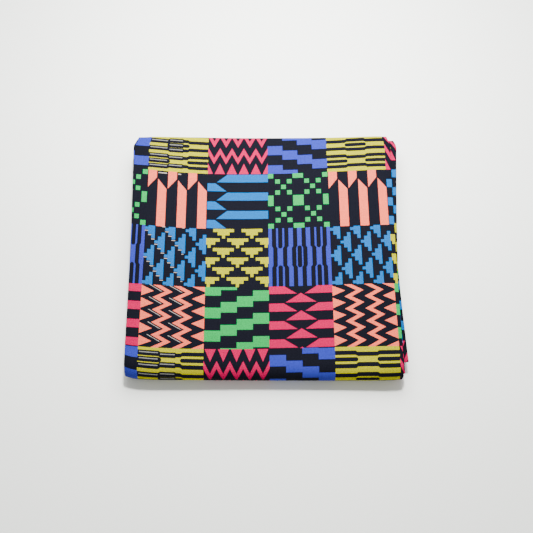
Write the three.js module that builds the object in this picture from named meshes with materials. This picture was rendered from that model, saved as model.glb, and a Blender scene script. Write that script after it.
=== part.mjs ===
import * as THREE from "three";

// A six-yard length of printed cotton, folded in four lengthwise to a strip and then folded back and
// forth into a flat bundle. One layer of the strip is four plies of cloth, and stands here as one sheet.
// Sizes are in millimetres. Z is up, the origin is on the surface under the middle of the bundle, the
// smooth fold that wraps the bundle is at low Y and the stacked folds are at high Y.

// The strip and its layers
const LAYERS = 20;
const THICKNESS = 1.0;
const GAP = 0.25;
const PITCH = THICKNESS + GAP;

// The wrapping fold, which joins the top layer to the bottom one round all the others
const WRAP_REACH = -136.4;
const WRAP_DEPTH = 15.5;
const WRAP_NOSE_SHARE = 0.5;
const WRAP_STEPS = 12;
const WRAP_EDGES = { left: -142.2, right: 134.0 };

// The bundle as it lies: its surface rises from its middle to its sides and drops again at its edges,
// it is pressed flatter towards the wrapping fold, and its underside lifts off the surface there
const HALF_WIDTH = 140;
const EDGE_RISE = 4.2;
const EDGE_DROP = { height: 2.2, from: 122, to: 146 };
const FLATTENED = { share: 0.06, from: -90, to: -126 };
const NEAR_LIFT = { height: 0.4, from: -90, to: -121 };

// The corners: those at low Y are drawn back, and those at high Y are drawn inward
const NEAR_CORNERS = { back: 2.8, power: 16, from: -88, to: -134 };
const FAR_CORNERS = { inward: 0.034, power: 6, from: 120, to: 136 };

// The side edges are drawn in a little half way between the two ends
const WAIST = { inward: 0.0085, power: 6, reach: 125 };

// The folds at high Y from the top down: how far each reaches, and the strip's two edges there
const FAR_FOLDS = [
  { reach: 133.0, left: -147.0, right: 137.6 },
  { reach: 129.6, left: -139.0, right: 145.4 },
  { reach: 131.8, left: -140.2, right: 137.5 },
  { reach: 134.8, left: -143.4, right: 134.2 },
  { reach: 130.8, left: -141.3, right: 136.0 },
  { reach: 133.4, left: -142.6, right: 135.5 },
  { reach: 131.2, left: -139.4, right: 136.5 },
  { reach: 133.0, left: -141.8, right: 135.5 },
  { reach: 130.4, left: -140.9, right: 136.0 },
];

// The folds at low Y from the top down: how far each stays behind the wrapping fold, and the two edges
const NEAR_FOLDS = [
  { slack: 0.6, left: -140.6, right: 131.5 },
  { slack: 5.5, left: -138.5, right: 131.5 },
  { slack: 0.8, left: -140.4, right: 136.0 },
  { slack: 13.5, left: -141.0, right: 141.2 },
  { slack: 1.0, left: -141.3, right: 135.5 },
  { slack: 2.4, left: -140.2, right: 136.0 },
  { slack: 1.2, left: -141.0, right: 135.5 },
  { slack: 1.8, left: -139.6, right: 136.0 },
  { slack: 0.9, left: -141.2, right: 135.0 },
];

// The two cut ends, both at high Y: of the bottom layer, and of the one above it
const BOTTOM_END = { reach: 127.0, left: -141.0, right: 139.0 };
const INNER_END = { reach: 124.5, left: -141.6, right: 138.4 };

// Where a layer has its cross-sections between two folds, in Y
const LAYER_STATIONS = [120, 75, 15, -90, -99, -108, -117];

// How far the middle line of a tight fold bulges past the layers that it joins
const FOLD_DEPTH = 0.7;
const FOLD_STEPS = 4;

// Where a cross-section has its points, as shares of half the strip's width, and how round its edge is
const WIDTH_STATIONS = [-1, -0.92, -0.86, -0.62, -0.21, 0.21, 0.62, 0.86, 0.92, 1];
const EDGE_ROUNDING = 0.4;

// The height of the middle of a layer, counted from 1 at the top
function layerHeight(layer) {
  return THICKNESS / 2 + (LAYERS - layer) * PITCH;
}

// Rises smoothly from 0 at the first value to 1 at the second
function ease(value, from, to) {
  const share = Math.min(Math.max((value - from) / (to - from), 0), 1);
  return share * share * (3 - 2 * share);
}

// The height of the wrapping fold's nose, and how far the strip runs above and below it
function wrapHeights() {
  const low = layerHeight(LAYERS);
  const high = layerHeight(1);
  const nose = low + (high - low) * WRAP_NOSE_SHARE;
  return { nose, above: high - nose, below: nose - low };
}

// How far a near fold between two heights may reach behind the wrapping fold
function behindWrap(upper, lower) {
  const { nose, above, below } = wrapHeights();
  const room = THICKNESS + GAP;
  const up = Math.max(upper - nose, 0) / (above - room);
  const down = Math.max(nose - lower, 0) / (below - room);
  const share = Math.min(Math.max(up, down), 1);
  return WRAP_REACH + WRAP_DEPTH - (WRAP_DEPTH - room) * Math.sqrt(1 - share * share);
}

// Adds a half turn round a centre in the YZ plane, from one height to another
function addFold(path, centre, from, to, side, edges) {
  const middle = (from + to) / 2;
  const radius = (from - to) / 2;
  for (let step = 0; step <= FOLD_STEPS; step += 1) {
    const angle = (Math.PI * step) / FOLD_STEPS;
    path.push({
      y: centre + side * FOLD_DEPTH * Math.sin(angle),
      z: middle + radius * Math.cos(angle),
      ...edges,
    });
  }
}

// Adds the cross-sections of one layer between two folds, with the edges running straight between them
function addLayer(path, layer, start, end) {
  const stations = start.y > end.y ? LAYER_STATIONS : [...LAYER_STATIONS].reverse();
  for (const y of stations) {
    const share = (y - start.y) / (end.y - start.y);
    path.push({
      y,
      z: layerHeight(layer),
      left: THREE.MathUtils.lerp(start.left, end.left, share),
      right: THREE.MathUtils.lerp(start.right, end.right, share),
    });
  }
}

// The middle line of the folded strip, from the bottom cut end round the wrap and down to the inner end
function stripPath() {
  const path = [];
  const { nose, above, below } = wrapHeights();
  const wrapStart = WRAP_REACH + WRAP_DEPTH;
  const bottom = layerHeight(LAYERS);
  path.push({ y: BOTTOM_END.reach, z: bottom, left: BOTTOM_END.left, right: BOTTOM_END.right });
  addLayer(path, LAYERS, path[0], { y: wrapStart, ...WRAP_EDGES });
  for (let step = 0; step <= WRAP_STEPS; step += 1) {
    const angle = Math.PI * (step / WRAP_STEPS - 0.5);
    const height = angle > 0 ? above : below;
    path.push({
      y: wrapStart - WRAP_DEPTH * Math.cos(angle),
      z: nose + height * Math.sin(angle),
      ...WRAP_EDGES,
    });
  }

  let last = { y: wrapStart, ...WRAP_EDGES };
  FAR_FOLDS.forEach((far, index) => {
    const upper = 2 * index + 1;
    const edges = { left: far.left, right: far.right };
    const centre = far.reach - FOLD_DEPTH - THICKNESS / 2;
    addLayer(path, upper, last, { y: centre, ...edges });
    addFold(path, centre, layerHeight(upper), layerHeight(upper + 1), 1, edges);

    const near = NEAR_FOLDS[index];
    const nearEdges = { left: near.left, right: near.right };
    const nose = behindWrap(layerHeight(upper + 1), layerHeight(upper + 2)) + near.slack;
    const nearCentre = nose + FOLD_DEPTH;
    addLayer(path, upper + 1, { y: centre, ...edges }, { y: nearCentre, ...nearEdges });
    addFold(path, nearCentre, layerHeight(upper + 1), layerHeight(upper + 2), -1, nearEdges);
    last = { y: nearCentre, ...nearEdges };
  });
  const inner = { y: INNER_END.reach, left: INNER_END.left, right: INNER_END.right };
  addLayer(path, LAYERS - 1, last, inner);
  path.push({ ...inner, z: layerHeight(LAYERS - 1) });
  return path;
}

// Lays a point of the evenly folded strip as the real bundle lies
function lay(x, y, z) {
  const side = Math.abs(x) / HALF_WIDTH;
  const height = layerHeight(1) - THICKNESS / 2;
  const drop = EDGE_DROP.height * ease(Math.abs(x), EDGE_DROP.from, EDGE_DROP.to);
  const rise = 1 + (EDGE_RISE * side * side - drop) / height;
  const press = 1 - FLATTENED.share * ease(-y, -FLATTENED.from, -FLATTENED.to);
  const lift = NEAR_LIFT.height * (Math.max(NEAR_LIFT.from - y, 0) / (NEAR_LIFT.from - NEAR_LIFT.to)) ** 2;
  const near = ease(-y, -NEAR_CORNERS.from, -NEAR_CORNERS.to);
  const far = ease(y, FAR_CORNERS.from, FAR_CORNERS.to);
  const middle = Math.max(1 - (y / WAIST.reach) ** 2, 0);
  const drawnIn = FAR_CORNERS.inward * far * side ** FAR_CORNERS.power;
  const waist = WAIST.inward * middle * side ** WAIST.power;
  return new THREE.Vector3(
    x * (1 - drawnIn - waist),
    y + NEAR_CORNERS.back * near * side ** NEAR_CORNERS.power,
    THICKNESS / 2 + (z - THICKNESS / 2) * rise * press + lift,
  );
}

// The direction across the sheet at a station of the path, square to the laid middle line
function across(path, index, x) {
  const before = path[Math.max(index - 1, 0)];
  const after = path[Math.min(index + 1, path.length - 1)];
  const along = lay(x, after.y, after.z).sub(lay(x, before.y, before.z));
  return new THREE.Vector3(0, -along.z, along.y).normalize();
}

// The points of one cross-section: the upper face from left to right, the right edge, the lower face
// from right to left, and the left edge
function sectionPoints(path, index) {
  const { y, z, left, right } = path[index];
  const upper = [];
  const lower = [];
  const middles = [];
  for (const share of WIDTH_STATIONS) {
    const x = THREE.MathUtils.lerp(left, right, (share + 1) / 2);
    const middle = lay(x, y, z);
    const offset = across(path, index, x).multiplyScalar(THICKNESS / 2);
    upper.push(middle.clone().add(offset));
    lower.push(middle.clone().sub(offset));
    middles.push(middle);
  }
  const rightEdge = middles[middles.length - 1].clone();
  const leftEdge = middles[0].clone();
  rightEdge.x += EDGE_ROUNDING;
  leftEdge.x -= EDGE_ROUNDING;
  return [...upper, rightEdge, ...lower.reverse(), leftEdge];
}

// The faces that close the strip at a cut end, in the order that faces backwards along the path
function endFaces() {
  const last = WIDTH_STATIONS.length - 1;
  const below = (station) => 2 * (last + 1) - station;
  const leftEdge = 2 * (last + 1) + 1;
  const rightEdge = last + 1;
  const faces = [
    [0, leftEdge, below(0)],
    [last, below(last), rightEdge],
  ];
  for (let station = 0; station < last; station += 1) {
    faces.push([station, below(station), below(station + 1)]);
    faces.push([station, below(station + 1), station + 1]);
  }
  return faces;
}

// Joins the cross-sections into one closed solid
function foldedCloth() {
  const path = stripPath();
  const sections = path.map((station, index) => sectionPoints(path, index));
  const count = sections[0].length;
  const faces = endFaces().flat();
  for (let index = 0; index + 1 < sections.length; index += 1) {
    const here = index * count;
    const there = here + count;
    for (let point = 0; point < count; point += 1) {
      const next = (point + 1) % count;
      faces.push(here + point, here + next, there + next);
      faces.push(here + point, there + next, there + point);
    }
  }
  const end = (sections.length - 1) * count;
  for (const [first, second, third] of endFaces()) {
    faces.push(end + first, end + third, end + second);
  }
  const geometry = new THREE.BufferGeometry();
  const positions = sections.flat().flatMap((point) => [point.x, point.y, point.z]);
  geometry.setAttribute("position", new THREE.Float32BufferAttribute(positions, 3));
  geometry.setIndex(faces);
  geometry.computeVertexNormals();
  return geometry;
}

const printedCotton = new THREE.MeshStandardMaterial({ color: 0x24273a, roughness: 0.85, metalness: 0 });
const cloth = new THREE.Mesh(foldedCloth(), printedCotton);
cloth.name = "cloth";

const bundle = new THREE.Group();
bundle.add(cloth);

export default bundle;
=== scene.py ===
import bpy
import numpy as np
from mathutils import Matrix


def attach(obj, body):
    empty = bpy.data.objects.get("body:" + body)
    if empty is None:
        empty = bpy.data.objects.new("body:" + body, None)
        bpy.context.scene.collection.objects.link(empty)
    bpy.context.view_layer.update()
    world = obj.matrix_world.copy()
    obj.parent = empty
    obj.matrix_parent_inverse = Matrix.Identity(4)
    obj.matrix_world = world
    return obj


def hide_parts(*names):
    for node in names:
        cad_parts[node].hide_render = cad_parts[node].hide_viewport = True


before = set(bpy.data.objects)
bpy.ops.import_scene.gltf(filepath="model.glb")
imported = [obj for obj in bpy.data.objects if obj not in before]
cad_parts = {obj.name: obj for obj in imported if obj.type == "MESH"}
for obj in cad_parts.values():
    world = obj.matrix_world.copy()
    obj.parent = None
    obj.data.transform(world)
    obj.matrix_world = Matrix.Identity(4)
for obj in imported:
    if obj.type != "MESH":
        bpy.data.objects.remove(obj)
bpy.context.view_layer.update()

# The viewpoint
# The bundle is seen from above its near side, seventy degrees up and three quarters of a metre away.
# Lengths are in millimetres here and for the cloth, and become metres at the end.
MM = 0.001
IMAGE_PX = 533
SENSOR_MM = 36.0
FOCAL_PX = 700.0
VIEW = {"elevation": 69.56, "turn": -2.198, "roll": 1.876, "distance": 726.9}
AIM = np.array([-0.9, -20.3, 24.8])

elevation, turn, roll = np.radians([VIEW["elevation"], VIEW["turn"], VIEW["roll"]])
backward = np.array([
    np.sin(turn) * np.cos(elevation),
    -np.cos(turn) * np.cos(elevation),
    np.sin(elevation),
])
level = np.array([np.cos(turn), np.sin(turn), 0.0])
upward = np.cross(backward, level)
camera_axes = np.stack([
    np.cos(roll) * level + np.sin(roll) * upward,
    -np.sin(roll) * level + np.cos(roll) * upward,
    backward,
], axis=1)
placing = np.eye(4)
placing[:3, :3] = camera_axes
placing[:3, 3] = (AIM + backward * VIEW["distance"]) * MM

lens = bpy.data.cameras.new("viewpoint")
lens.sensor_width = SENSOR_MM
lens.lens = FOCAL_PX / IMAGE_PX * SENSOR_MM
viewpoint = bpy.data.objects.new("viewpoint", lens)
viewpoint.matrix_world = placing.T.tolist()
bpy.context.collection.objects.link(viewpoint)
bpy.context.scene.camera = viewpoint


# The folded cloth
# One length of plain-woven printed cotton, 44 inches by six yards. It is folded in four lengthwise,
# so that the printed side is outside, and then back and forth, and its last turn wraps all the other
# layers. Nothing is sewn: it is one sheet with two selvedges and two cut ends.
CLOTH = {"width": 1118.0, "length": 5490.0, "thickness": 0.22}
LAYERS = 20
LAYER_THICKNESS = 1.0
LAYER_PITCH = 1.25
PLY_PITCH = 0.26

# The wrapping fold at low Y, and how the bundle lies: raised to its sides and dropped at its edges,
# pressed flatter and lifted near the wrap, a little skew there, and drawn in at its corners and half
# way along its sides
WRAP = {"reach": -136.4, "depth": 15.5, "nose_share": 0.5, "left": -142.2, "right": 134.0}
HALF_WIDTH = 140.0
EDGE_RISE = 4.2
EDGE_DROP = {"height": 2.2, "from": 122.0, "to": 146.0}
FLATTENED = {"share": 0.06, "from": 90.0, "to": 126.0}
NEAR_LIFT = {"height": 0.4, "from": -90.0, "to": -121.0}
NEAR_CORNERS = {"back": 2.8, "power": 16, "from": 88.0, "to": 134.0}
NEAR_SKEW = 1.2
FAR_CORNERS = {"inward": 0.034, "power": 6, "from": 120.0, "to": 136.0}
WAIST = {"inward": 0.0085, "power": 6, "reach": 125.0}
BROAD_WAVE = {"height": 0.25, "across": 31.0, "along": 43.0, "start": (0.6, 1.1)}
FINE_WAVE = {"height": 0.15, "across": 17.0, "along": 23.0}
FOLD_DEPTH = 0.7

# The folds at high Y from the top down, as reach, left edge and right edge
FAR_FOLDS = np.array([
    (133.0, -147.0, 137.6), (129.6, -139.0, 145.4), (131.8, -140.2, 137.5),
    (134.8, -143.4, 134.2), (130.8, -141.3, 136.0), (133.4, -142.6, 135.5),
    (131.2, -139.4, 136.5), (133.0, -141.8, 135.5), (130.4, -140.9, 136.0),
])
# The folds at low Y from the top down, as distance behind the wrap, left edge and right edge
NEAR_FOLDS = np.array([
    (0.6, -140.6, 131.5), (5.5, -138.5, 131.5), (0.8, -140.4, 136.0),
    (13.5, -141.0, 141.2), (1.0, -141.3, 135.5), (2.4, -140.2, 136.0),
    (1.2, -141.0, 135.5), (1.8, -139.6, 136.0), (0.9, -141.2, 135.0),
])
BOTTOM_END = (127.0, -141.0, 139.0)
INNER_END = (124.5, -141.6, 138.4)

# Where a layer has its cross-sections, in Y. The top layer has more of them between these.
STATIONS = np.array([128, 124, 120, 108, 95, 68, 38, 8, -22, -50, -72, -90, -99, -108, -117], float)
TOP_STATIONS = 42
FOLD_STEPS = 6
WRAP_STEPS = 28


def ease(value, start, end):
    """Rises from 0 at start to 1 at end as three times the share squared less twice its cube."""
    share = np.clip((value - start) / (end - start), 0, 1)
    return share * share * (3 - 2 * share)


def layer_height(layer):
    """The height of a layer's middle: half its thickness, plus a pitch for each layer below it."""
    return LAYER_THICKNESS / 2 + (LAYERS - layer) * LAYER_PITCH


def behind_wrap(upper, lower, nose, half):
    """How far a near fold reaches: along an ellipse one pitch inside the wrap's own ellipse."""
    room = half - LAYER_PITCH
    share = min(max(abs(upper - nose), abs(lower - nose)) / room, 1.0)
    shallow = WRAP["depth"] - LAYER_PITCH
    return WRAP["reach"] + WRAP["depth"] - shallow * (1 - share * share) ** 0.5


def layer_run(layer, start, end):
    """Rows of Y, height, left and right edge along one layer, its edges straight between its ends."""
    y = STATIONS if start[0] > end[0] else STATIONS[::-1]
    if layer == 1:
        y = np.linspace(STATIONS[-1], STATIONS[0], TOP_STATIONS)
    share = (y - start[0]) / (end[0] - start[0])
    edges = [start[side] + share * (end[side] - start[side]) for side in (1, 2)]
    return np.stack([y, np.full(len(y), layer_height(layer)), *edges], axis=1)


def half_turn(centre, upper, side, edges):
    """Rows round a tight fold: an ellipse from one layer's height down to the next one's."""
    angle = np.linspace(0, np.pi, FOLD_STEPS + 1)
    middle = (layer_height(upper) + layer_height(upper + 1)) / 2
    y = centre + side * FOLD_DEPTH * np.sin(angle)
    z = middle + LAYER_PITCH / 2 * np.cos(angle)
    return np.stack([y, z, np.full(len(y), edges[0]), np.full(len(y), edges[1])], axis=1)


def strip_path():
    """Rows of the strip's middle line: bottom layer, wrap, and then the other layers from the top
    down. The numbers with them count the rows before the wrap, in it, and in the top layer."""
    low, high = layer_height(LAYERS), layer_height(1)
    nose = low + (high - low) * WRAP["nose_share"]
    start = WRAP["reach"] + WRAP["depth"]
    wrap_end = (start, WRAP["left"], WRAP["right"])
    bottom_end = (BOTTOM_END[0], low, *BOTTOM_END[1:])
    angle = np.linspace(-np.pi / 2, np.pi / 2, WRAP_STEPS + 1)
    wrap = np.stack([
        start - WRAP["depth"] * np.cos(angle),
        nose + (high - low) / 2 * np.sin(angle),
        np.full(len(angle), WRAP["left"]),
        np.full(len(angle), WRAP["right"]),
    ], axis=1)
    rows = [np.array([bottom_end]), layer_run(LAYERS, BOTTOM_END, wrap_end), wrap]
    last = wrap_end
    for index, (far, near) in enumerate(zip(FAR_FOLDS, NEAR_FOLDS)):
        upper = 2 * index + 1
        centre = far[0] - FOLD_DEPTH - LAYER_THICKNESS / 2
        far_end = (centre, far[1], far[2])
        rows.append(layer_run(upper, last, far_end))
        rows.append(half_turn(centre, upper, 1, far[1:]))
        reach = behind_wrap(layer_height(upper + 1), layer_height(upper + 2), nose, (high - low) / 2)
        near_centre = reach + near[0] + FOLD_DEPTH
        last = (near_centre, near[1], near[2])
        rows.append(layer_run(upper + 1, far_end, last))
        rows.append(half_turn(near_centre, upper + 1, -1, near[1:]))
    rows.append(layer_run(LAYERS - 1, last, INNER_END))
    rows.append(np.array([(INNER_END[0], layer_height(LAYERS - 1), *INNER_END[1:])]))
    return np.concatenate(rows), len(rows[0]) + len(rows[1]), len(rows[2]), len(rows[3])


def lay(x, y, z):
    """Lays the evenly folded strip as it lies: raised by the square of the distance from the middle,
    dropped at the side edges, pressed and lifted at the near end, with two faint waves on top. The
    near end is skewed evenly from side to side. The near corners are drawn back, and the far corners
    and the sides half way along are drawn in, by powers of that distance."""
    side = np.abs(x) / HALF_WIDTH
    height = layer_height(1) - LAYER_THICKNESS / 2
    drop = EDGE_DROP["height"] * ease(np.abs(x), EDGE_DROP["from"], EDGE_DROP["to"])
    rise = 1 + (EDGE_RISE * side * side - drop) / height
    press = 1 - FLATTENED["share"] * ease(-y, FLATTENED["from"], FLATTENED["to"])
    near_run = np.maximum(NEAR_LIFT["from"] - y, 0) / (NEAR_LIFT["from"] - NEAR_LIFT["to"])
    near = ease(-y, NEAR_CORNERS["from"], NEAR_CORNERS["to"])
    far = ease(y, FAR_CORNERS["from"], FAR_CORNERS["to"])
    skew = NEAR_SKEW * near * x / HALF_WIDTH
    lifted = np.maximum(z - LAYER_THICKNESS / 2, 0)
    broad, fine = BROAD_WAVE, FINE_WAVE
    soft = broad["height"] * np.sin(x / broad["across"] + broad["start"][0])
    soft = soft * np.sin(y / broad["along"] + broad["start"][1])
    soft = soft + fine["height"] * np.sin(x / fine["across"] - y / fine["along"])
    drawn_in = FAR_CORNERS["inward"] * far * side ** FAR_CORNERS["power"]
    waist = WAIST["inward"] * np.maximum(1 - (y / WAIST["reach"]) ** 2, 0) * side ** WAIST["power"]
    drawn_back = NEAR_CORNERS["back"] * near * side ** NEAR_CORNERS["power"]
    lift = NEAR_LIFT["height"] * near_run ** 2
    return np.stack([
        x * (1 - drawn_in - waist),
        y + drawn_back - skew,
        LAYER_THICKNESS / 2 + lifted * (rise * press + soft / height) + lift,
    ], axis=-1)


# The four plies of the strip in the order in which the cloth runs through them, from one selvedge
# to the other: each row is the side it starts from, its height in the strip in ply pitches, and the
# number of its stations. The third ply is the one on top.
PLIES = ((0, -0.5, 9), (1, 0.5, 9), (0, 1.5, 41), (1, -1.5, 15))
SELVEDGE_INSET = {"first": 2.6, "last": 3.4}
SIDE_STEPS = 6


def section():
    """The folded section as share of the strip's width, distance beside that, and height: straight
    plies, joined by half circles whose radius is half the distance between the plies. The first turn
    is on the same side as the last, and lies inside it."""
    half = CLOTH["thickness"] / 2
    insets = [SELVEDGE_INSET["first"]]
    turns = []
    for (_, lower, _), (_, upper, _) in zip(PLIES, PLIES[1:]):
        turns.append(abs(upper - lower) * PLY_PITCH / 2)
        insets.append(turns[-1] + half)
    insets[1] = turns[2] + turns[0] + 3 * half
    parts = []
    for index, (start, height, count) in enumerate(PLIES):
        end_inset = insets[index + 1] if index < 3 else SELVEDGE_INSET["last"]
        run = np.linspace(0, 1, count)
        share = run if start == 0 else 1 - run
        start_out, end_out = (1, -1) if start == 0 else (-1, 1)
        beside = start_out * insets[index] * (1 - run) + end_out * end_inset * run
        parts.append(np.stack([share, beside, np.full(count, height * PLY_PITCH)], axis=1))
        if index < 3:
            angle = np.linspace(0, np.pi, SIDE_STEPS + 1)[1:-1]
            following = PLIES[index + 1][1] * PLY_PITCH
            middle = (height * PLY_PITCH + following) / 2
            arc = np.stack([
                np.full(len(angle), 1.0 - start),
                end_out * end_inset - end_out * turns[index] * np.sin(angle),
                middle + (height * PLY_PITCH - middle) * np.cos(angle),
            ], axis=1)
            parts.append(arc)
    return parts


def stack_section(parts):
    """One array of the section's points, with each point's direction out of the printed side: the
    section's own direction turned a quarter to the left."""
    points = np.concatenate(parts)
    flat = points[:, 1:] + points[:, :1] * [2 * HALF_WIDTH, 0]
    along = np.gradient(flat, axis=0)
    along /= np.linalg.norm(along, axis=1, keepdims=True)
    return points, np.stack([-along[:, 1], along[:, 0]], axis=1)


path, wrap_starts, wrap_count, top_count = strip_path()
wrap_ends = wrap_starts + wrap_count
top_ends = wrap_ends + top_count + FOLD_STEPS
parts = section()
points, outward = stack_section(parts)
sizes = [len(part) for part in parts]
top_ply = slice(sum(sizes[:3]), sum(sizes[:6]))


def sheet_side(side):
    """A grid of points on one side of the cloth: each station's section is set across the strip's
    middle line there, half the cloth's thickness out from its plies."""
    shift = side * CLOTH["thickness"] / 2 * outward
    left, right = path[:, 2:3], path[:, 3:4]
    x = left + (right - left) * points[:, 0] + points[:, 1] + shift[:, 0]
    middle = lay(x, path[:, 0:1], path[:, 1:2])
    along = np.gradient(middle, axis=0)
    across = np.stack([np.zeros_like(x), -along[..., 2], along[..., 1]], axis=-1)
    across /= np.linalg.norm(across, axis=-1, keepdims=True)
    return middle + across * (points[:, 2] + shift[:, 1])[:, None]


def cloth_faces(rows, columns):
    """Quads of the printed side, of the back, and of the four rims that close the sheet."""
    index = np.arange(rows * columns).reshape(rows, columns)
    printed = np.stack([index[:-1, :-1], index[:-1, 1:], index[1:, 1:], index[1:, :-1]], axis=-1)
    back = printed[..., ::-1] + index.size
    rims = []
    for edge in (index[0], index[:, -1], index[-1, ::-1], index[::-1, 0]):
        below = edge + index.size
        rims.append(np.stack([edge[1:], edge[:-1], below[:-1], below[1:]], axis=-1))
    return printed.reshape(-1, 4), back.reshape(-1, 4), np.concatenate(rims)


# The print is a lattice of square tiles. It is laid on the flat cloth so that it meets the top layer
# where the photographed one does. The mark is a place on that layer, measured from the bundle's
# middle, and the tiles are counted from a corner that lies this many of them left of it and above it.
TILE = 65.0
MARK = np.array([1.05, -10.0])
TILES_LEFT, TILES_ABOVE = 2.0, 2.5
# Printed cloth is never quite straight. These move the print in millimetres by powers of the place
# across the bundle, from the constant upwards. The bow is added by the square of that place towards
# the far side and taken off towards the near one, in full from this many tiles off the mark on.
PRINT_EDGE = 130.0
PRINT_ACROSS = (-0.6, -0.8, 0.6, 0.9)
PRINT_ALONG = (0.0, 2.5, 2.8, -2.7)
PRINT_BOW = 1.2
BOW_REACH = 1.5


def print_places():
    """Each point's place on the flat cloth in tiles: the distance run along the section and along
    the strip, counted from the mark on the top ply of the top layer. With it comes the
    distance in millimetres that each row has run along the strip."""
    flat = points[:, 1:] + points[:, :1] * (path[:, None, 3:4] - path[:, None, 2:3]) * [1, 0]
    steps = np.linalg.norm(np.diff(flat, axis=1), axis=2)
    run = np.concatenate([np.zeros((len(path), 1)), np.cumsum(steps, axis=1)], axis=1)
    left_fold = run[:, top_ply.start:top_ply.start + 1]
    centre = path[:, 2:4].mean(axis=1)
    level_rows = np.clip(np.arange(len(path)), wrap_ends, wrap_ends + top_count - 1)
    drift = (centre - centre[level_rows])[:, None]
    across = run - left_fold + path[:, 2:3] + points[top_ply.start, 1] - drift - MARK[0]
    middle = lay(np.zeros(len(path)), path[:, 0], path[:, 1])
    forward = np.concatenate([[0], np.cumsum(np.linalg.norm(np.diff(middle, axis=0), axis=1))])
    top_rows = slice(wrap_ends, wrap_ends + top_count)
    origin = np.interp(MARK[1], path[top_rows, 0], forward[top_rows])
    along = np.broadcast_to((forward - origin)[:, None], across.shape)
    place = (flat[..., 0] + path[:, None, 2]) / PRINT_EDGE
    nearness = np.clip(-along / (BOW_REACH * TILE), -1, 1)
    pull = np.polynomial.polynomial.polyval(place, PRINT_ACROSS)
    bow = np.polynomial.polynomial.polyval(place, PRINT_ALONG) - PRINT_BOW * place ** 2 * nearness
    tiles_across = (across + pull) / TILE + TILES_LEFT
    tiles_along = (along - bow) / TILE - TILES_ABOVE
    return np.stack([tiles_across, tiles_along], axis=-1), forward


# A second map lays the cloth out for an image. The plies that show from outside get most of it:
# the top layer with the wrap, and the underside. All else is laid in narrow pages above them.
TOP_ISLAND = {"corner": (0.002, 0.002), "size": (0.645, 0.676)}
BASE_ISLAND = {"corner": (0.652, 0.002), "size": (0.346, 0.676)}
PAGES = 3
PAGE_GAP = 0.002
PRINTED_PAGE = {"corner": (0.002, 0.682), "size": (0.996, 0.082)}
BACK_PAGE = {"corner": (0.002, 0.936), "size": (0.996, 0.018)}
RIM_PATCH = (0.996, 0.999)
# On a page the cloth within this distance of the bundle's sides and far end has more room
EDGE_BAND = 14.0
FAR_END = 131.0
INNER_WEIGHT = 0.1
LEAST_WEIGHT = 0.25


def spread(lengths, near_edge):
    """Running share of a row in which each step counts by its length, only a tenth of that away from
    an edge, and by a small least width."""
    weight = lengths * np.where(near_edge, 1.0, INNER_WEIGHT) + LEAST_WEIGHT
    run = np.concatenate([[0], np.cumsum(weight)])
    return run / run[-1]


def image_places(forward, faces_printed, columns):
    """Each corner's place in the image: plain grids for the two islands, whose shares are distances
    run across and along them, and for the rest pages of even length, one above another."""
    width = 2 * HALF_WIDTH
    section_steps = np.linalg.norm(np.diff(points[:, 1:] + points[:, :1] * [width, 0], axis=0), axis=1)
    side_share = (points[:-1, 0] + points[1:, 0]) / 2
    across = spread(section_steps, np.minimum(side_share, 1 - side_share) * width < EDGE_BAND)
    reach = (path[:-1, 0] + path[1:, 0]) / 2
    along = spread(np.diff(forward), reach > FAR_END - EDGE_BAND) * PAGES

    corner_rows, corner_columns = np.divmod(faces_printed, columns)
    first_row, first_column = corner_rows.min(axis=1), corner_columns.min(axis=1)
    page = np.floor(along[first_row])[:, None]
    places = np.stack([(along[corner_rows] - page).clip(0, 1), across[corner_columns]], axis=-1)

    def on_page(paper):
        lifted = places * paper["size"] + paper["corner"]
        lifted[..., 1] += page * (paper["size"][1] + PAGE_GAP)
        return lifted

    printed, back = on_page(PRINTED_PAGE), on_page(BACK_PAGE)
    top_line = np.cumsum(np.concatenate([[0], section_steps]))
    start, stop = top_ply.start, top_ply.stop
    on_top = (first_column >= start) & (first_column < stop)
    for island, first, last in ((TOP_ISLAND, wrap_starts, top_ends), (BASE_ISLAND, 0, wrap_starts)):
        chosen = on_top & (first_row >= first) & (first_row < last)
        wide = (top_line[corner_columns] - top_line[start]) / (top_line[stop] - top_line[start])
        high = (forward[corner_rows] - forward[first]) / (forward[last] - forward[first])
        laid = np.stack([wide, high], axis=-1) * island["size"] + island["corner"]
        printed[chosen] = laid[chosen]
    return printed, back


SHARP_DEGREES = 80
places, forward = print_places()
rows, columns = places.shape[:2]
printed_faces, back_faces, rim_faces = cloth_faces(rows, columns)
faces = np.concatenate([printed_faces, back_faces, rim_faces])
vertices = np.concatenate([sheet_side(1).reshape(-1, 3), sheet_side(-1).reshape(-1, 3)]) * MM

cloth_mesh = bpy.data.meshes.new("printed_cotton_length")
cloth_mesh.from_pydata(vertices.tolist(), [], faces.tolist())
print_map = cloth_mesh.uv_layers.new(name="Print")
flat_places = np.tile(places.reshape(-1, 2), (2, 1))
print_map.data.foreach_set("uv", flat_places[faces].astype(np.float32).ravel())
image_map = cloth_mesh.uv_layers.new(name="OFBake")
printed_places, back_places = image_places(forward, printed_faces, columns)
low, high = RIM_PATCH
rim_patch = [[high, high], [low, high], [low, low], [high, low]]
rim_places = np.broadcast_to(rim_patch, (len(rim_faces), 4, 2))
all_places = np.concatenate([printed_places, back_places[:, ::-1], rim_places])
image_map.data.foreach_set("uv", all_places.astype(np.float32).ravel())
cloth_mesh.uv_layers.active = print_map
print_map.active_render = True
cloth_mesh.shade_smooth()
cloth_mesh.set_sharp_from_angle(angle=np.radians(SHARP_DEGREES))
cloth = bpy.data.objects.new("folded_cotton", cloth_mesh)
bpy.context.collection.objects.link(cloth)


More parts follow.
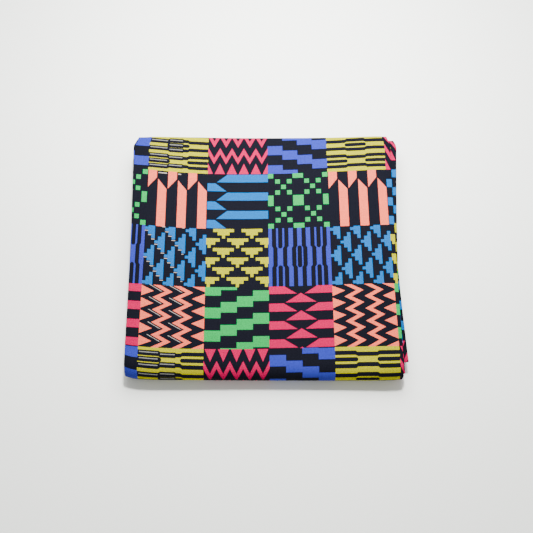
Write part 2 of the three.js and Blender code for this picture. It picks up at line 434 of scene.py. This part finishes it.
# The print is worked out by Math nodes from a point's place in its tile
class Sums:
    """Adds one Math node to a node tree for each call, and gives its output."""

    def __init__(self, tree):
        self.tree = tree

    def __call__(self, operation, *values):
        node = self.tree.nodes.new("ShaderNodeMath")
        node.operation = operation
        for socket, value in zip(node.inputs, values):
            if isinstance(value, (int, float)):
                socket.default_value = value
            else:
                self.tree.links.new(value, socket)
        return node.outputs[0]

    def largest(self, values):
        """The largest of some values, which joins the areas of masks."""
        result = values[0]
        for value in values[1:]:
            result = self("MAXIMUM", result, value)
        return result


def motif(name, draw, *inputs):
    """Makes a node group that turns a place in a tile, X to the right and Y down, into a mask."""
    group = bpy.data.node_groups.new(name, "ShaderNodeTree")
    for title in ("X", "Y", *inputs):
        group.interface.new_socket(title, in_out="INPUT", socket_type="NodeSocketFloat")
    group.interface.new_socket("Mask", in_out="OUTPUT", socket_type="NodeSocketFloat")
    entry = group.nodes.new("NodeGroupInput")
    leave = group.nodes.new("NodeGroupOutput")
    mask = draw(Sums(group), *[entry.outputs[title] for title in ("X", "Y", *inputs)])
    group.links.new(mask, leave.inputs["Mask"])
    return group


# Lengths in the motifs are shares of a tile. A bar that steps has its height in the outer segments
# and in the middle one. A bar that stops has its height, its round end's distance from the tile's
# middle line, and which way from there it is missing: 1 outwards and -1 inwards.
STEPPED_BARS = (
    (0.09, 0.11), (0.29, 0.265), (0.43, 0.41), (0.57, 0.59), (0.71, 0.735), (0.91, 0.89),
)
STOPPED_BARS = ((0.19, 0.18, -1), (0.81, 0.18, -1), (0.5, 0.153, 1))
BAR_SLOPE = 33.0


def bars(s, x, y, half):
    """Level bars in three segments. Six step by a short slope from segment to segment, and three
    have round ends and stop there. Half is half their thickness."""
    from_middle = s("ABSOLUTE", s("SUBTRACT", x, 0.5))
    inner = s("MULTIPLY_ADD", s("SUBTRACT", 1 / 6, from_middle), BAR_SLOPE, 0.5)
    inner.node.use_clamp = True
    masks = []
    for outer, centre in STEPPED_BARS:
        masks.append(s("COMPARE", y, s("MULTIPLY_ADD", inner, centre - outer, outer), half))
    for height, start, way in STOPPED_BARS:
        past = s("MAXIMUM", s("MULTIPLY", s("SUBTRACT", from_middle, start), way), 0.0)
        off = s("SUBTRACT", y, height)
        gap = s("SQRT", s("MULTIPLY_ADD", past, past, s("MULTIPLY", off, off)))
        masks.append(s("LESS_THAN", gap, half))
    return s.largest(masks)


ZIGZAG = {"stretch": 0.1, "rise": 0.193, "middles": (0.2435, 0.5635), "half": 0.0585}
ZIGZAG_TRIANGLES = {"rise": 0.235, "hanging": -0.035, "standing": 0.80}


def zigzag(s, x, y):
    """Two zigzag bands between a row of hanging triangles and a row of standing ones. Each follows
    a wave that rises and falls evenly between 0 and 1."""
    wave = s("DIVIDE", s("PINGPONG", x, ZIGZAG["stretch"]), ZIGZAG["stretch"])
    drop = s("MULTIPLY_ADD", wave, -ZIGZAG["rise"], y)
    steep = s("MULTIPLY_ADD", wave, -ZIGZAG_TRIANGLES["rise"], y)
    bands = [s("COMPARE", drop, middle, ZIGZAG["half"]) for middle in ZIGZAG["middles"]]
    hanging = s("LESS_THAN", steep, ZIGZAG_TRIANGLES["hanging"])
    standing = s("GREATER_THAN", steep, ZIGZAG_TRIANGLES["standing"])
    return s.largest([*bands, hanging, standing])


ZIGZAG_SLIVERS = {"middles": (0.130, 0.450), "half": 0.009}


def zigzag_slivers(s, x, y):
    """Thin lines inside two of the dark zigzag bands, along every other stretch of them."""
    stretch = ZIGZAG["stretch"]
    wave = s("DIVIDE", s("PINGPONG", x, stretch), stretch)
    drop = s("MULTIPLY_ADD", wave, -ZIGZAG["rise"], y)
    half = ZIGZAG_SLIVERS["half"]
    lines = s.largest([s("COMPARE", drop, middle, half) for middle in ZIGZAG_SLIVERS["middles"]])
    return s("MULTIPLY", lines, s("LESS_THAN", s("FLOORED_MODULO", x, 2 * stretch), stretch))


# Share is how much of the spacing a band takes
STAIRS = {"columns": 4.0, "spacing": 0.37, "start": 0.10, "share": 0.465}


def stairs(s, x, y):
    """Slanting bands that step down by a quarter of their spacing from each column to the next."""
    column = s("FLOOR", s("MULTIPLY", x, STAIRS["columns"]))
    level = s("MULTIPLY_ADD", column, -STAIRS["spacing"] / 4, y)
    phase = s("DIVIDE", s("SUBTRACT", level, STAIRS["start"]), STAIRS["spacing"])
    return s("LESS_THAN", s("FLOORED_MODULO", phase, 1.0), STAIRS["share"])


# Half is half a bar's width as a share of the spacing. The end is how far down the pointed end lies at
# a bar's left edge, and the slant how much further down it lies at the right edge.
POINTED_BARS = {"count": 6.0, "half": 0.435}
SHORT_BARS = {"end": 0.33, "slant": -0.21}
LONG_BARS = {"end": 0.14, "slant": 0.20}


def points_motif(s, x, y):
    """Upright bars in sixths: short ones from the top, and long ones from the bottom, all pointed."""
    sixth = s("MULTIPLY", x, POINTED_BARS["count"])
    share = s("FRACT", sixth)
    even = s("COMPARE", s("FLOORED_MODULO", s("FLOOR", sixth), 2.0), 0.0, 0.5)
    short = s("LESS_THAN", y, s("MULTIPLY_ADD", share, SHORT_BARS["slant"], SHORT_BARS["end"]))
    long = s("GREATER_THAN", y, s("MULTIPLY_ADD", share, LONG_BARS["slant"], LONG_BARS["end"]))
    odd = s("SUBTRACT", 1.0, even)
    pointed = s.largest([s("MULTIPLY", even, short), s("MULTIPLY", odd, long)])
    return s("MULTIPLY", pointed, s("COMPARE", share, 0.5, POINTED_BARS["half"]))


# The crosses are mirrored in both middle lines. Each pair is a size across and the same one down.
SQUARE_HALF = 0.0395
CROSS_MIDDLE = (0.2425, 0.2525)
CROSS_ARM = (0.0975, 0.1025)
CENTRE_HALF = (0.0875, 0.095)
EDGE_BLOCK = (0.41, 0.415)


def squares(s, x, y):
    """Small squares in four crosses round a large one, with half blocks at the edges."""
    over, down = [s("ABSOLUTE", s("SUBTRACT", value, 0.5)) for value in (x, y)]
    cross = [s("ABSOLUTE", s("SUBTRACT", *pair)) for pair in zip((over, down), CROSS_MIDDLE)]
    arms = s("MULTIPLY", *[s("COMPARE", *pair, SQUARE_HALF) for pair in zip(cross, CROSS_ARM)])
    hearts = s("MULTIPLY", *[s("LESS_THAN", value, SQUARE_HALF) for value in cross])
    blocks = []
    for value, centre, edge in zip((over, down), CENTRE_HALF, EDGE_BLOCK):
        blocks.append(s.largest([s("LESS_THAN", value, centre), s("GREATER_THAN", value, edge)]))
    return s.largest([arms, hearts, s("MULTIPLY", *blocks)])


PYRAMIDS = {"rows": 6.0, "steps": 3.0, "half_spacing": 0.2285, "start": 0.277}
PYRAMID_STEP = {"half": 0.167, "less": 0.0715}


def pyramids(s, x, y):
    """Hanging pyramids of three steps in six rows, every other row moved by half their spacing."""
    row = s("MULTIPLY", y, PYRAMIDS["rows"])
    odd = s("FLOORED_MODULO", s("FLOOR", row), 2.0)
    start = s("MULTIPLY_ADD", odd, -PYRAMIDS["half_spacing"], s("SUBTRACT", x, PYRAMIDS["start"]))
    step = s("FLOOR", s("MULTIPLY", s("FRACT", row), PYRAMIDS["steps"]))
    half = s("MULTIPLY_ADD", step, -PYRAMID_STEP["less"], PYRAMID_STEP["half"])
    return s("LESS_THAN", s("PINGPONG", start, PYRAMIDS["half_spacing"]), half)


HOURGLASS = {"spacing": 0.2885, "start": 0.008}
STRIPE = {"height": 0.132, "tip": 0.27, "slant": -1.59}
TRIANGLE = {"top": 0.122, "bottom": 0.275, "slant": 1.58}


def hourglasses(s, x, y):
    """Pairs of stripes that point at each other, with a standing triangle below each pair."""
    over = s("ABSOLUTE", s("SUBTRACT", x, 0.5))
    turns = s("DIVIDE", s("ADD", y, HOURGLASS["start"]), HOURGLASS["spacing"])
    fall = s("MULTIPLY", s("FLOORED_MODULO", turns, 1.0), HOURGLASS["spacing"])
    tip = s("MULTIPLY_ADD", fall, STRIPE["slant"], STRIPE["tip"])
    stripe = s("MULTIPLY", s("LESS_THAN", fall, STRIPE["height"]), s("GREATER_THAN", over, tip))
    half = s("MULTIPLY", s("SUBTRACT", fall, TRIANGLE["top"]), TRIANGLE["slant"])
    above = s("LESS_THAN", fall, TRIANGLE["bottom"])
    return s.largest([stripe, s("MULTIPLY", s("LESS_THAN", over, half), above)])


MOTIFS = {
    "bars": motif("bars in three segments", bars, "Half"),
    "zigzag": motif("zigzag bands", zigzag),
    "zigzag slivers": motif("slivers in zigzag bands", zigzag_slivers),
    "stairs": motif("stair bands", stairs),
    "points": motif("pointed bars", points_motif),
    "squares": motif("squares in crosses", squares),
    "pyramids": motif("stepped pyramids", pyramids),
    "hourglass": motif("hourglass stripes", hourglasses),
}
# The repeat, charted: colour, motif and how the motif is turned, three tiles across and four
# down. The tiles of a row are named from left to right.
REPEAT_COLUMNS, REPEAT_ROWS = 3, 4
REPEAT = (
    ("yellow", "bars", "upright"), ("pink", "zigzag", "upright"), ("violet", "stairs", "upright"),
    ("coral", "points", "upright"), ("cyan", "points", "left"), ("green", "squares", "upright"),
    ("cyan", "pyramids", "right"), ("yellow", "pyramids", "upright"), ("violet", "bars", "across"),
    ("coral", "zigzag", "across"), ("green", "stairs", "mirrored"), ("pink", "hourglass", "upright"),
)
# Base colours of the inks and of the slivers of cotton. The lamps are strong, so these are darker
# than they look.
INKS = {
    "yellow": (0.285, 0.268, 0.0), "pink": (0.34, 0.0, 0.046), "violet": (0.020, 0.028, 0.235),
    "coral": (0.62, 0.097, 0.053), "cyan": (0.0, 0.083, 0.265), "green": (0.0, 0.240, 0.046),
}
DARK_INK = (0.0042, 0.0045, 0.0078)
GREY_SLIVER = (0.13, 0.13, 0.12)
PALE_SLIVER = (0.28, 0.235, 0.21)
# Half a bar's thickness by colour, and how far the mirrored motif is moved up
BAR_HALF = {"yellow": 0.0325, "violet": 0.0350}
MIRRORED_RISE = 0.04
# One column is printed out of register. Its bars are thicker up to this place, and slivers of bare
# cotton show in its dark parts. A part is the middle and half the width of a stretch of the tile.
SLIPPED_BARS = {"thicker": 0.0115, "until": 0.58}
BAR_SLIVERS = {"half": 0.008, "above": 0.011, "parts": ((0.165, 0.145), (0.455, 0.11))}
STEP_SLIVERS = {"from": 0.012, "to": 0.024, "until": 0.64}
TOP_SLIVERS = {"height": 0.038, "half": 0.008, "parts": ((0.25, 0.07), (0.53, 0.025))}

# The weave: its thread spacing in millimetres, how fine and how strong its streaks and its speckle
# are, and how rough and how shiny the cotton is. The bump's distance is in metres.
THREAD_MM = 0.42
STREAK_STRETCH = (1.1, 0.07)
STREAK_DETAIL = 2.0
SPECKLE_SCALE = 1.6
SPECKLE_DETAIL = 1.0
STREAK_TINT = 0.55
SPECKLE_TINT = 2.8
COTTON_ROUGHNESS = {"most": 0.86, "streaks": -0.12}
COTTON_SPECULAR = 0.02
WEAVE_BUMP = {"strength": 0.35, "distance": 0.00004}


def weave_group():
    """Plain weave: threads as two sines across each other for the height, streaks drawn out along
    both sets of threads for the tint, and a fine speckle. The place comes in as millimetres."""
    group = bpy.data.node_groups.new("plain weave", "ShaderNodeTree")
    group.interface.new_socket("Place", in_out="INPUT", socket_type="NodeSocketVector")
    group.interface.new_socket("Thread", in_out="INPUT", socket_type="NodeSocketFloat")
    for title in ("Height", "Tint", "Speckle"):
        group.interface.new_socket(title, in_out="OUTPUT", socket_type="NodeSocketFloat")
    entry = group.nodes.new("NodeGroupInput")
    leave = group.nodes.new("NodeGroupOutput")
    s = Sums(group)
    split = group.nodes.new("ShaderNodeSeparateXYZ")
    group.links.new(entry.outputs["Place"], split.inputs[0])
    turns = s("DIVIDE", 2 * np.pi, entry.outputs["Thread"])
    waves = [s("SINE", s("MULTIPLY", split.outputs[axis], turns)) for axis in (0, 1)]
    group.links.new(s("MULTIPLY", waves[0], waves[1]), leave.inputs["Height"])
    streaks = []
    for stretch in (STREAK_STRETCH, STREAK_STRETCH[::-1]):
        mapping = group.nodes.new("ShaderNodeMapping")
        mapping.inputs["Scale"].default_value = (*stretch, 0.0)
        noise = group.nodes.new("ShaderNodeTexNoise")
        noise.inputs["Scale"].default_value = 1.0
        noise.inputs["Detail"].default_value = STREAK_DETAIL
        group.links.new(entry.outputs["Place"], mapping.inputs["Vector"])
        group.links.new(mapping.outputs[0], noise.inputs["Vector"])
        streaks.append(noise.outputs["Fac"])
    group.links.new(s("MULTIPLY", s("ADD", *streaks), 0.5), leave.inputs["Tint"])
    speckle = group.nodes.new("ShaderNodeTexNoise")
    speckle.inputs["Scale"].default_value = SPECKLE_SCALE
    speckle.inputs["Detail"].default_value = SPECKLE_DETAIL
    group.links.new(entry.outputs["Place"], speckle.inputs["Vector"])
    group.links.new(speckle.outputs["Fac"], leave.inputs["Speckle"])
    return group


class Tiles:
    """Where a point of the cloth lies in the print: its place in its tile, X to the right and Y down,
    and the tile's number in the repeat, which is the row times the number of columns plus the
    column. In the slipped column the print is out of register."""

    def __init__(self, tree, place):
        s = Sums(tree)
        split = tree.nodes.new("ShaderNodeSeparateXYZ")
        tree.links.new(place, split.inputs[0])
        over = split.outputs[0]
        down = s("MULTIPLY", split.outputs[1], -1.0)
        column = s("FLOOR", over)
        row = s("FLOORED_MODULO", s("FLOOR", down), float(REPEAT_ROWS))
        wrapped = s("FLOORED_MODULO", column, float(REPEAT_COLUMNS))
        self.tree, self.s = tree, s
        self.x, self.y = s("FRACT", over), s("FLOORED_MODULO", down, 1.0)
        self.number = s("MULTIPLY_ADD", row, float(REPEAT_COLUMNS), wrapped)
        self.slipped = s("COMPARE", column, 0.0, 0.5)

    def turned(self, way):
        """The place in the tile as a motif sees it when the motif is turned this way."""
        x, y = self.x, self.y
        back_x, back_y = self.s("SUBTRACT", 1.0, x), self.s("SUBTRACT", 1.0, y)
        return {
            "upright": (x, y), "across": (y, x), "left": (back_y, x), "right": (y, back_x),
            "mirrored": (back_x, self.s("ADD", y, MIRRORED_RISE)),
        }[way]

    def drawn(self, name, places, **numbers):
        """A motif's mask at some places, with its other inputs by name."""
        node = self.tree.nodes.new("ShaderNodeGroup")
        node.node_tree = MOTIFS[name]
        for socket, value in zip(node.inputs, places):
            self.tree.links.new(value, socket)
        for title, value in numbers.items():
            if isinstance(value, float):
                node.inputs[title].default_value = value
            else:
                self.tree.links.new(value, node.inputs[title])
        return node.outputs["Mask"]

    def only_in(self, colour, name, mask):
        """A mask where the tile is the one with this colour and motif, and nothing elsewhere."""
        number = [row[:2] for row in REPEAT].index((colour, name))
        return self.s("MULTIPLY", mask, self.s("COMPARE", self.number, float(number), 0.5))

    def between(self, parts):
        """A mask of upright stretches of the tile, each with its middle and half its width."""
        return self.s.largest([self.s("COMPARE", self.x, middle, half) for middle, half in parts])


def coloured_parts(tiles):
    """All parts printed in colour: the motif of each tile, and all but the bars where it is bars."""
    s = tiles.s
    masks = []
    for colour, name, way in REPEAT:
        if name == "bars":
            half = BAR_HALF[colour]
            if colour == "yellow":
                early = s("LESS_THAN", tiles.x, SLIPPED_BARS["until"])
                grown = s("MULTIPLY", tiles.slipped, early)
                half = s("MULTIPLY_ADD", grown, SLIPPED_BARS["thicker"], half)
            mask = s("SUBTRACT", 1.0, tiles.drawn(name, tiles.turned(way), Half=half))
        else:
            mask = tiles.drawn(name, tiles.turned(way))
        masks.append(tiles.only_in(colour, name, mask))
    return s.largest(masks)


def grey_slivers(tiles):
    """Thin bars inside the dark ones, a little above their middle lines."""
    s = tiles.s
    raised = s("ADD", tiles.y, BAR_SLIVERS["above"])
    thin_bars = tiles.drawn("bars", (tiles.x, raised), Half=BAR_SLIVERS["half"])
    return tiles.only_in("yellow", "bars", s("MULTIPLY", tiles.between(BAR_SLIVERS["parts"]), thin_bars))


def pale_slivers(tiles):
    """Thin lines in the dark parts: along the tops of the pointed bars, under the pyramids' steps,
    where a copy moved further down sticks out of one moved down less, and in the zigzags."""
    s = tiles.s
    top_line = s("COMPARE", tiles.y, TOP_SLIVERS["height"], TOP_SLIVERS["half"])
    back_x = s("SUBTRACT", 1.0, tiles.x)
    moved = [s("SUBTRACT", tiles.y, STEP_SLIVERS[end]) for end in ("from", "to")]
    nearer, further = [tiles.drawn("pyramids", (place, back_x)) for place in moved]
    early = s("LESS_THAN", tiles.x, STEP_SLIVERS["until"])
    under_steps = s("MULTIPLY", further, s("MULTIPLY", s("SUBTRACT", 1.0, nearer), early))
    zigzags = tiles.drawn("zigzag slivers", tiles.turned("across"))
    return s.largest([
        tiles.only_in("coral", "points", s("MULTIPLY", top_line, tiles.between(TOP_SLIVERS["parts"]))),
        tiles.only_in("cyan", "pyramids", under_steps),
        tiles.only_in("coral", "zigzag", zigzags),
    ])


def tile_colour(tiles):
    """The ink of the tile, from a ramp with one even step for each tile of the repeat."""
    palette = tiles.tree.nodes.new("ShaderNodeValToRGB")
    palette.color_ramp.interpolation = "CONSTANT"
    stops = palette.color_ramp.elements
    while len(stops) < len(REPEAT):
        stops.new(0.5)
    for number, (colour, _, _) in enumerate(REPEAT):
        stops[number].position = number / len(REPEAT)
        stops[number].color = (*INKS[colour], 1.0)
    step_middle = tiles.s("DIVIDE", tiles.s("ADD", tiles.number, 0.5), float(len(REPEAT)))
    tiles.tree.links.new(step_middle, palette.inputs[0])
    return palette.outputs[0]


def mixed(tree, share, under, above, blend="MIX"):
    """Two colours mixed by a share. Each of the three is a number, a colour or an output."""
    node = tree.nodes.new("ShaderNodeMix")
    node.data_type = "RGBA"
    node.blend_type = blend
    for socket, value in zip((node.inputs[0], node.inputs[6], node.inputs[7]), (share, under, above)):
        if isinstance(value, float):
            socket.default_value = value
        elif isinstance(value, tuple):
            socket.default_value = (*value, 1.0)
        else:
            tree.links.new(value, socket)
    return node.outputs[2]


def printed_cotton():
    """The print on a plain weave, whose streaks and speckle tint the ink, each by its own factor."""
    material = bpy.data.materials.new("printed_cotton")
    material.use_nodes = True
    tree = material.node_tree
    shader = tree.nodes["Principled BSDF"]
    place = tree.nodes.new("ShaderNodeUVMap")
    place.uv_map = "Print"
    tiles = Tiles(tree, place.outputs[0])
    s = tiles.s

    millimetres = tree.nodes.new("ShaderNodeVectorMath")
    millimetres.operation = "SCALE"
    millimetres.inputs["Scale"].default_value = TILE
    tree.links.new(place.outputs[0], millimetres.inputs[0])
    weave = tree.nodes.new("ShaderNodeGroup")
    weave.node_tree = weave_group()
    weave.inputs["Thread"].default_value = THREAD_MM
    tree.links.new(millimetres.outputs[0], weave.inputs["Place"])

    colour = mixed(tree, coloured_parts(tiles), DARK_INK, tile_colour(tiles))
    colour = mixed(tree, s("MULTIPLY", tiles.slipped, grey_slivers(tiles)), colour, GREY_SLIVER)
    colour = mixed(tree, s("MULTIPLY", tiles.slipped, pale_slivers(tiles)), colour, PALE_SLIVER)
    tint = s("MULTIPLY_ADD", s("SUBTRACT", weave.outputs["Tint"], 0.5), STREAK_TINT, 1.0)
    tint = s("MULTIPLY_ADD", s("SUBTRACT", weave.outputs["Speckle"], 0.5), SPECKLE_TINT, tint)
    grey = tree.nodes.new("ShaderNodeCombineColor")
    for socket in grey.inputs:
        tree.links.new(tint, socket)
    colour = mixed(tree, 1.0, colour, grey.outputs[0], "MULTIPLY")
    tree.links.new(colour, shader.inputs["Base Color"])

    rough = COTTON_ROUGHNESS
    roughness = s("MULTIPLY_ADD", weave.outputs["Tint"], rough["streaks"], rough["most"])
    tree.links.new(roughness, shader.inputs["Roughness"])
    bump = tree.nodes.new("ShaderNodeBump")
    bump.inputs["Strength"].default_value = WEAVE_BUMP["strength"]
    bump.inputs["Distance"].default_value = WEAVE_BUMP["distance"]
    tree.links.new(weave.outputs["Height"], bump.inputs["Height"])
    tree.links.new(bump.outputs[0], shader.inputs["Normal"])
    shader.inputs["Specular IOR Level"].default_value = COTTON_SPECULAR
    return material


cloth_mesh.materials.append(printed_cotton())
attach(cloth, "root")
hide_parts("cloth")


# The floor
# A plain pale table top of painted board, on which the bundle lies. It runs out of the picture on
# every side. Its size is in metres.
FLOOR_SIZE = 6.0
TABLE_TONES = ((0.88, 0.90, 0.85), (0.90, 0.92, 0.87))
TONE_SCALE = 3.0
PAINT_ROUGHNESS = 0.9

floor_corners = np.array([(-1, -1, 0), (1, -1, 0), (1, 1, 0), (-1, 1, 0)]) * FLOOR_SIZE / 2
floor_mesh = bpy.data.meshes.new("table_top")
floor_mesh.from_pydata(floor_corners.tolist(), [], [(0, 1, 2, 3)])
floor = bpy.data.objects.new("table_top", floor_mesh)
bpy.context.collection.objects.link(floor)


def pale_paint():
    """Matt white whose tone changes faintly and slowly, by a noise between two tones."""
    material = bpy.data.materials.new("pale_paint")
    material.use_nodes = True
    tree = material.node_tree
    shader = tree.nodes["Principled BSDF"]
    where = tree.nodes.new("ShaderNodeTexCoord")
    noise = tree.nodes.new("ShaderNodeTexNoise")
    noise.inputs["Scale"].default_value = TONE_SCALE
    ramp = tree.nodes.new("ShaderNodeValToRGB")
    for stop, tone in zip(ramp.color_ramp.elements, TABLE_TONES):
        stop.color = (*tone, 1)
    tree.links.new(where.outputs["Object"], noise.inputs["Vector"])
    tree.links.new(noise.outputs["Fac"], ramp.inputs[0])
    tree.links.new(ramp.outputs[0], shader.inputs["Base Color"])
    shader.inputs["Roughness"].default_value = PAINT_ROUGHNESS
    return material


floor_mesh.materials.append(pale_paint())


# The light
# A small soft lamp high up on the far side, which casts the narrow shadow, a broad one low over the
# far side, which makes the table brighter there, and an even pale surround. Places and sizes are in
# metres and powers in watts.
LAMPS = {
    "key": {"place": (0.03, 0.33, 0.92), "aim": (0.0, 0.0, 0.0), "size": 0.10, "power": 18.8},
    "broad": {"place": (0.02, 0.27, 0.40), "aim": (0.02, 0.27, 0.0), "size": 0.36, "power": 7.6},
}
SURROUND = 0.64


def hang_lamp(name, place, aim, size, power):
    """A square lamp that faces the place it is aimed at."""
    lamp = bpy.data.lights.new(name, "AREA")
    lamp.size = size
    lamp.energy = power
    away = np.array(place) - np.array(aim)
    away /= np.linalg.norm(away)
    side = np.cross([0.0, 1.0, 0.0], away)
    side /= np.linalg.norm(side)
    setting = np.eye(4)
    setting[:3, :3] = np.stack([side, np.cross(away, side), away], axis=1)
    setting[:3, 3] = place
    hung = bpy.data.objects.new(name, lamp)
    hung.matrix_world = setting.T.tolist()
    bpy.context.collection.objects.link(hung)


for name, values in LAMPS.items():
    hang_lamp(name, **values)

surround = bpy.data.worlds.new("surround")
surround.use_nodes = True
backdrop = surround.node_tree.nodes["Background"]
backdrop.inputs["Color"].default_value = (1.0, 1.0, 1.0, 1)
backdrop.inputs["Strength"].default_value = SURROUND
bpy.context.scene.world = surround
